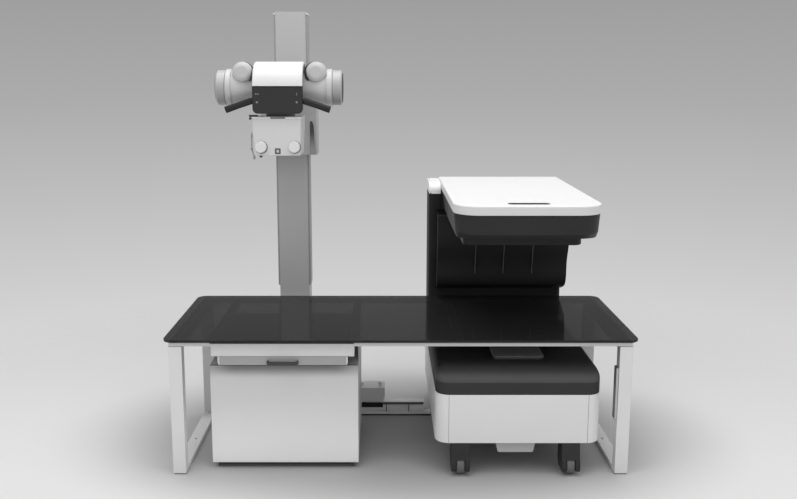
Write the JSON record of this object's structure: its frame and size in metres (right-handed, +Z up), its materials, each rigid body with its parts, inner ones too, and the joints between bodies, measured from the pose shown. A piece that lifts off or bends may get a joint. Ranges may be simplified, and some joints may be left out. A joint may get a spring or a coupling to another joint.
{
  "type": "bone densitometer",
  "caption": "C-shaped bone scanning unit on casters closing round a patient table, with an image tray cabinet and an X-ray tube stand on a floor rail.",
  "frame": {"origin": "on the floor, below the middle of the assembly's bounding box", "axes": "+X along the table to the operator's right, +Y from the operator's side to the wall, +Z up"},
  "size_m": [2.19, 1.175, 2.178],
  "materials": {
    "tabletop_laminate": "smooth dark laminate, half gloss",
    "frame_paint": "satin powder coat",
    "cabinet_paint": "satin powder coat",
    "tray_paint": "satin powder coat",
    "black_rubber": "matt black",
    "bright_steel": "ground",
    "grey_plastic": "fine texture",
    "grid_metal": "satin",
    "zinc_steel": "zinc plated",
    "plinth_black": "matt",
    "unit_grey": "hammer paint",
    "rail_metal": "anodised",
    "black_plastic": "fine texture",
    "detector_face": "carbon face",
    "stand_paint": "satin powder coat",
    "guide_steel": "ground",
    "weight_iron": "primed",
    "tube_paint": "gloss enamel",
    "white_gloss": "moulded, half gloss",
    "panel_black": "membrane face",
    "collimator_paint": "satin enamel",
    "clear_window": "clear acrylic",
    "knob_plastic": "moulded",
    "chassis_steel": "matt",
    "skirt_paint": "satin powder coat",
    "charcoal_plastic": "fine texture",
    "window_plastic": "smooth",
    "cable_box_grey": "satin",
    "lower_black": "smooth",
    "caster_plastic": "fine texture",
    "caster_tread": "grey tread"
  },
  "bodies": {
    "table": {"table_top": "tabletop_laminate", "top_frame": "frame_paint", "leg_frames": "frame_paint", "leg_pads": "black_rubber", "frame_screws": "bright_steel", "hand_switch_box": "grey_plastic", "tray_housing": "frame_paint", "anti_scatter_grid": "grid_metal", "tray_runners": "zinc_steel", "cabinet_body": "cabinet_paint", "cabinet_front_panel": "cabinet_paint", "cabinet_plinth": "plinth_black", "generator_unit": "unit_grey", "floor_rail": "rail_metal"},
    "tray": {"image_tray": "tray_paint", "tray_handle": "black_plastic", "detector_panel": "detector_face"},
    "stand": {"stand_carriage": "stand_paint", "drive_box": "rail_metal", "stand_column": "stand_paint", "guide_rails": "guide_steel"},
    "counterweight": {"counterweight": "weight_iron"},
    "lift": {"lift_carriage": "stand_paint", "lift_side_cover": "black_plastic"},
    "tube": {"tube_housing": "tube_paint", "tube_end_caps": "tube_paint", "head_cover": "white_gloss", "control_panel": "panel_black", "handlebars": "black_rubber"},
    "collimator": {"collimator_housing": "collimator_paint", "collimator_window": "clear_window"},
    "knob_left": {"shutter_knob_left": "knob_plastic"},
    "knob_right": {"shutter_knob_right": "knob_plastic"},
    "button": {"lamp_button": "grey_plastic"},
    "lever": {"side_lever": "grey_plastic"},
    "unit": {"base_chassis": "chassis_steel", "base_front_panel": "skirt_paint", "base_side_panels": "skirt_paint", "base_top_cover": "charcoal_plastic", "source_window": "window_plastic", "cable_box": "cable_box_grey", "column_frame": "chassis_steel", "column_front_cover": "black_plastic", "unit_rear_cover": "black_plastic", "shoulder_cap": "white_gloss", "head_housing": "charcoal_plastic", "head_lid": "white_gloss", "head_lower_cover": "lower_black", "base_scan_rods": "bright_steel", "head_scan_rods": "bright_steel"},
    "source": {"source_carriage": "unit_grey"},
    "detector": {"detector_carriage": "unit_grey"},
    "caster_fl": {"caster_hood_fl": "caster_plastic"},
    "wheel_fl": {"caster_wheel_fl": "caster_tread"},
    "caster_fr": {"caster_hood_fr": "caster_plastic"},
    "wheel_fr": {"caster_wheel_fr": "caster_tread"},
    "caster_rl": {"caster_hood_rl": "caster_plastic"},
    "wheel_rl": {"caster_wheel_rl": "caster_tread"},
    "caster_rr": {"caster_hood_rr": "caster_plastic"},
    "wheel_rr": {"caster_wheel_rr": "caster_tread"}
  },
  "joints": [
    {"name": "tray_slide", "type": "slide", "parent": "table", "child": "tray", "axis": [0, -1, 0], "range_m": [0, 0.35]},
    {"name": "stand_travel", "type": "slide", "parent": "table", "child": "stand", "axis": [1, 0, 0], "range_m": [-0.15, 0.11]},
    {"name": "lift_slide", "type": "slide", "parent": "stand", "child": "lift", "axis": [0, 0, 1], "range_m": [-0.43, 0.28]},
    {"name": "counterweight_slide", "type": "slide", "parent": "stand", "child": "counterweight", "axis": [0, 0, 1], "range_m": [-0.28, 0.43]},
    {"name": "tube_rotate", "type": "hinge", "parent": "lift", "child": "tube", "pos_m": [-0.578, -0.0975, 1.789], "axis": [0, 1, 0], "range_deg": [-90, 90]},
    {"name": "collimator_rotate", "type": "hinge", "parent": "tube", "child": "collimator", "pos_m": [-0.578, -0.0975, 1.56], "axis": [0, 0, 1], "range_deg": [-45, 45]},
    {"name": "knob_left_turn", "type": "hinge", "parent": "collimator", "child": "knob_left", "pos_m": [-0.6625, -0.1975, 1.511], "axis": [0, -1, 0], "range_deg": [-140, 140]},
    {"name": "knob_right_turn", "type": "hinge", "parent": "collimator", "child": "knob_right", "pos_m": [-0.5035, -0.1975, 1.511], "axis": [0, -1, 0], "range_deg": [-140, 140]},
    {"name": "button_press", "type": "slide", "parent": "collimator", "child": "button", "axis": [0, 1, 0], "range_m": [0, 0.003], "stiffness_N_per_m": 300},
    {"name": "lever_swing", "type": "hinge", "parent": "collimator", "child": "lever", "pos_m": [-0.7125, -0.1675, 1.559], "axis": [1, 0, 0], "range_deg": [-30, 30]},
    {"name": "unit_roll", "type": "slide", "parent": "table", "child": "unit", "axis": [0, 1, 0], "range_m": [0, 0.9]},
    {"name": "source_scan", "type": "slide", "parent": "unit", "child": "source", "axis": [1, 0, 0], "range_m": [-0.15, 0.15]},
    {"name": "detector_scan", "type": "slide", "parent": "unit", "child": "detector", "axis": [1, 0, 0], "range_m": [-0.15, 0.15]},
    {"name": "swivel_fl", "type": "hinge", "parent": "unit", "child": "caster_fl", "pos_m": [0.28, -0.4605, 0.15], "axis": [0, 0, 1], "continuous": true},
    {"name": "roll_fl", "type": "hinge", "parent": "caster_fl", "child": "wheel_fl", "pos_m": [0.28, -0.4905, 0.05], "axis": [1, 0, 0], "continuous": true},
    {"name": "swivel_fr", "type": "hinge", "parent": "unit", "child": "caster_fr", "pos_m": [0.794, -0.4605, 0.15], "axis": [0, 0, 1], "continuous": true},
    {"name": "roll_fr", "type": "hinge", "parent": "caster_fr", "child": "wheel_fr", "pos_m": [0.794, -0.4905, 0.05], "axis": [1, 0, 0], "continuous": true},
    {"name": "swivel_rl", "type": "hinge", "parent": "unit", "child": "caster_rl", "pos_m": [0.28, 0.4675, 0.15], "axis": [0, 0, 1], "continuous": true},
    {"name": "roll_rl", "type": "hinge", "parent": "caster_rl", "child": "wheel_rl", "pos_m": [0.28, 0.4375, 0.05], "axis": [1, 0, 0], "continuous": true},
    {"name": "swivel_rr", "type": "hinge", "parent": "unit", "child": "caster_rr", "pos_m": [0.794, 0.4675, 0.15], "axis": [0, 0, 1], "continuous": true},
    {"name": "roll_rr", "type": "hinge", "parent": "caster_rr", "child": "wheel_rr", "pos_m": [0.794, 0.4375, 0.05], "axis": [1, 0, 0], "continuous": true}
  ],
  "couplings": [
    {"joint": "counterweight_slide", "follows": "lift_slide", "ratio": -1},
    {"joint": "detector_scan", "follows": "source_scan", "ratio": 1}
  ]
}
